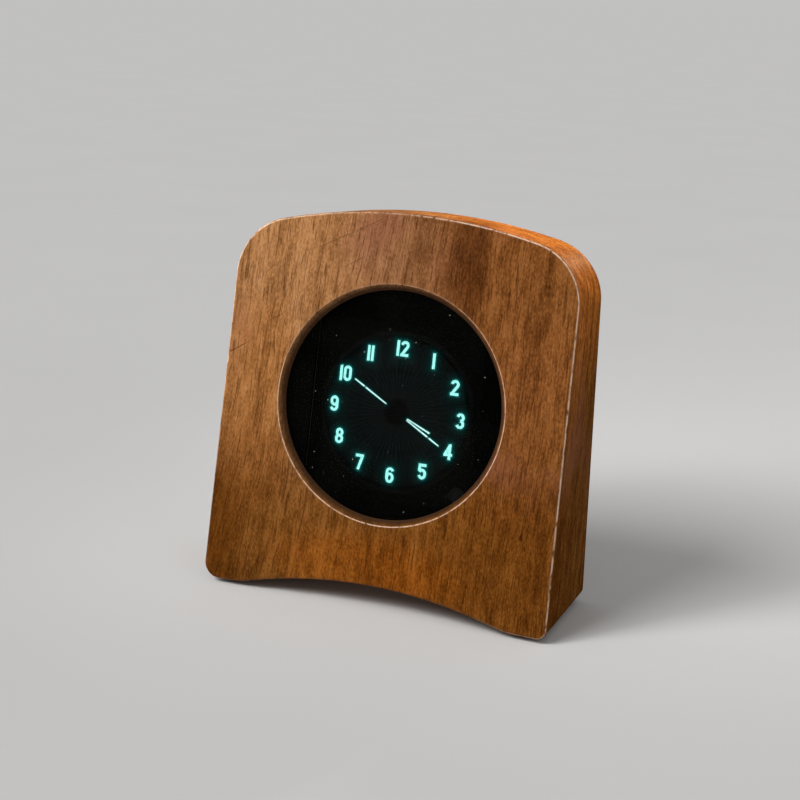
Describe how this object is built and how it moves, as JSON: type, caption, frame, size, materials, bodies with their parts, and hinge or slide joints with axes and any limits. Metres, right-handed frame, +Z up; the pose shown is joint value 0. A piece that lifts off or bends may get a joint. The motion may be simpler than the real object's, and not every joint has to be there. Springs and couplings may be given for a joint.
{
  "type": "vacuum fluorescent clock",
  "caption": "Desk clock with an analogue vacuum fluorescent dial behind a round smoked window in a leaning hardwood case, with set keys and a power inlet on the back",
  "frame": {"origin": "on the table, under the middle of the case's footprint", "axes": "+Z up, the dial faces -Y and leans back, +X to the right seen from the front"},
  "size_m": [0.12, 0.0449, 0.1279],
  "materials": {
    "wood_case": "oiled reddish-brown hardwood with open pores",
    "rubber_feet": "soft black rubber",
    "window_pane": "polished smoked pane",
    "display_frame": "matt black",
    "frame_screws": "bright zinc plate",
    "tube_front_glass": "clear flat glass",
    "tube_wall": "grey sealing glass",
    "tube_base_glass": "dark printed glass",
    "tube_exhaust_tip": "clear glass drawn to a tip",
    "tube_getter": "nickel ring",
    "numeral_anodes": "lit phosphor",
    "lit_hand_anodes": "lit phosphor",
    "idle_hand_anodes": "unlit phosphor",
    "control_grid": "etched metal mesh",
    "filaments": "coated tungsten",
    "filament_anchor": "stamped metal",
    "filament_spring": "stamped metal",
    "tube_pins": "tinned pins",
    "tube_pads": "black foam tape",
    "display_board": "green solder mask",
    "board_inserts": "turned brass",
    "board_screws": "bright zinc plate",
    "driver_chips": "moulded black",
    "display_socket": "ivory",
    "flat_cable": "white flat cable",
    "control_socket": "ivory",
    "control_board": "green solder mask",
    "post_screws": "bright zinc plate",
    "microcontroller": "moulded black",
    "clock_chip": "moulded black",
    "watch_crystal": "bright can",
    "cell_holder": "black",
    "coin_cell": "bright steel",
    "cell_clip": "spring bronze",
    "boost_inductor": "ferrite grey",
    "supply_capacitors": "bright cans",
    "boost_transistor": "moulded black",
    "chip_resistors": "black glaze",
    "switch_housings": "black",
    "mode_plunger": "ivory",
    "hour_plunger": "ivory",
    "minute_plunger": "ivory",
    "mode_key": "light grey",
    "hour_key": "light grey",
    "minute_key": "light grey",
    "back_cover": "matt black, fine texture",
    "cover_inserts": "turned brass",
    "cover_screws": "bright zinc plate",
    "power_jack": "black",
    "jack_pin": "nickel plate",
    "jack_nut": "nickel plate",
    "jack_tab": "tinned",
    "power_leads": "insulated wire"
  },
  "bodies": {
    "clock": {"wood_case": "wood_case", "rubber_feet": "rubber_feet", "window_pane": "window_pane", "display_frame": "display_frame", "frame_screws": "frame_screws", "tube_front_glass": "tube_front_glass", "tube_wall": "tube_wall", "tube_base_glass": "tube_base_glass", "tube_exhaust_tip": "tube_exhaust_tip", "tube_getter": "tube_getter", "numeral_anodes": "numeral_anodes", "lit_hand_anodes": "lit_hand_anodes", "idle_hand_anodes": "idle_hand_anodes", "control_grid": "control_grid", "filaments": "filaments", "filament_anchor": "filament_anchor", "filament_spring": "filament_spring", "tube_pins": "tube_pins", "tube_pads": "tube_pads", "display_board": "display_board", "board_inserts": "board_inserts", "board_screws": "board_screws", "driver_chips": "driver_chips", "display_socket": "display_socket", "flat_cable": "flat_cable", "control_socket": "control_socket", "control_board": "control_board", "post_screws": "post_screws", "microcontroller": "microcontroller", "clock_chip": "clock_chip", "watch_crystal": "watch_crystal", "cell_holder": "cell_holder", "coin_cell": "coin_cell", "cell_clip": "cell_clip", "boost_inductor": "boost_inductor", "supply_capacitors": "supply_capacitors", "boost_transistor": "boost_transistor", "chip_resistors": "chip_resistors", "switch_housings": "switch_housings", "back_cover": "back_cover", "cover_inserts": "cover_inserts", "cover_screws": "cover_screws", "power_jack": "power_jack", "jack_pin": "jack_pin", "jack_nut": "jack_nut", "jack_tab": "jack_tab", "power_leads": "power_leads"},
    "mode_button": {"mode_key": "mode_key", "mode_plunger": "mode_plunger"},
    "hour_button": {"hour_key": "hour_key", "hour_plunger": "hour_plunger"},
    "minute_button": {"minute_key": "minute_key", "minute_plunger": "minute_plunger"}
  },
  "joints": [
    {"name": "mode_press", "type": "slide", "parent": "clock", "child": "mode_button", "axis": [0, -1, 0], "range_m": [0, 0.001], "stiffness_N_per_m": 1500, "springref_m": -0.0004},
    {"name": "hour_press", "type": "slide", "parent": "clock", "child": "hour_button", "axis": [0, -1, 0], "range_m": [0, 0.001], "stiffness_N_per_m": 1500, "springref_m": -0.0004},
    {"name": "minute_press", "type": "slide", "parent": "clock", "child": "minute_button", "axis": [0, -1, 0], "range_m": [0, 0.001], "stiffness_N_per_m": 1500, "springref_m": -0.0004}
  ]
}
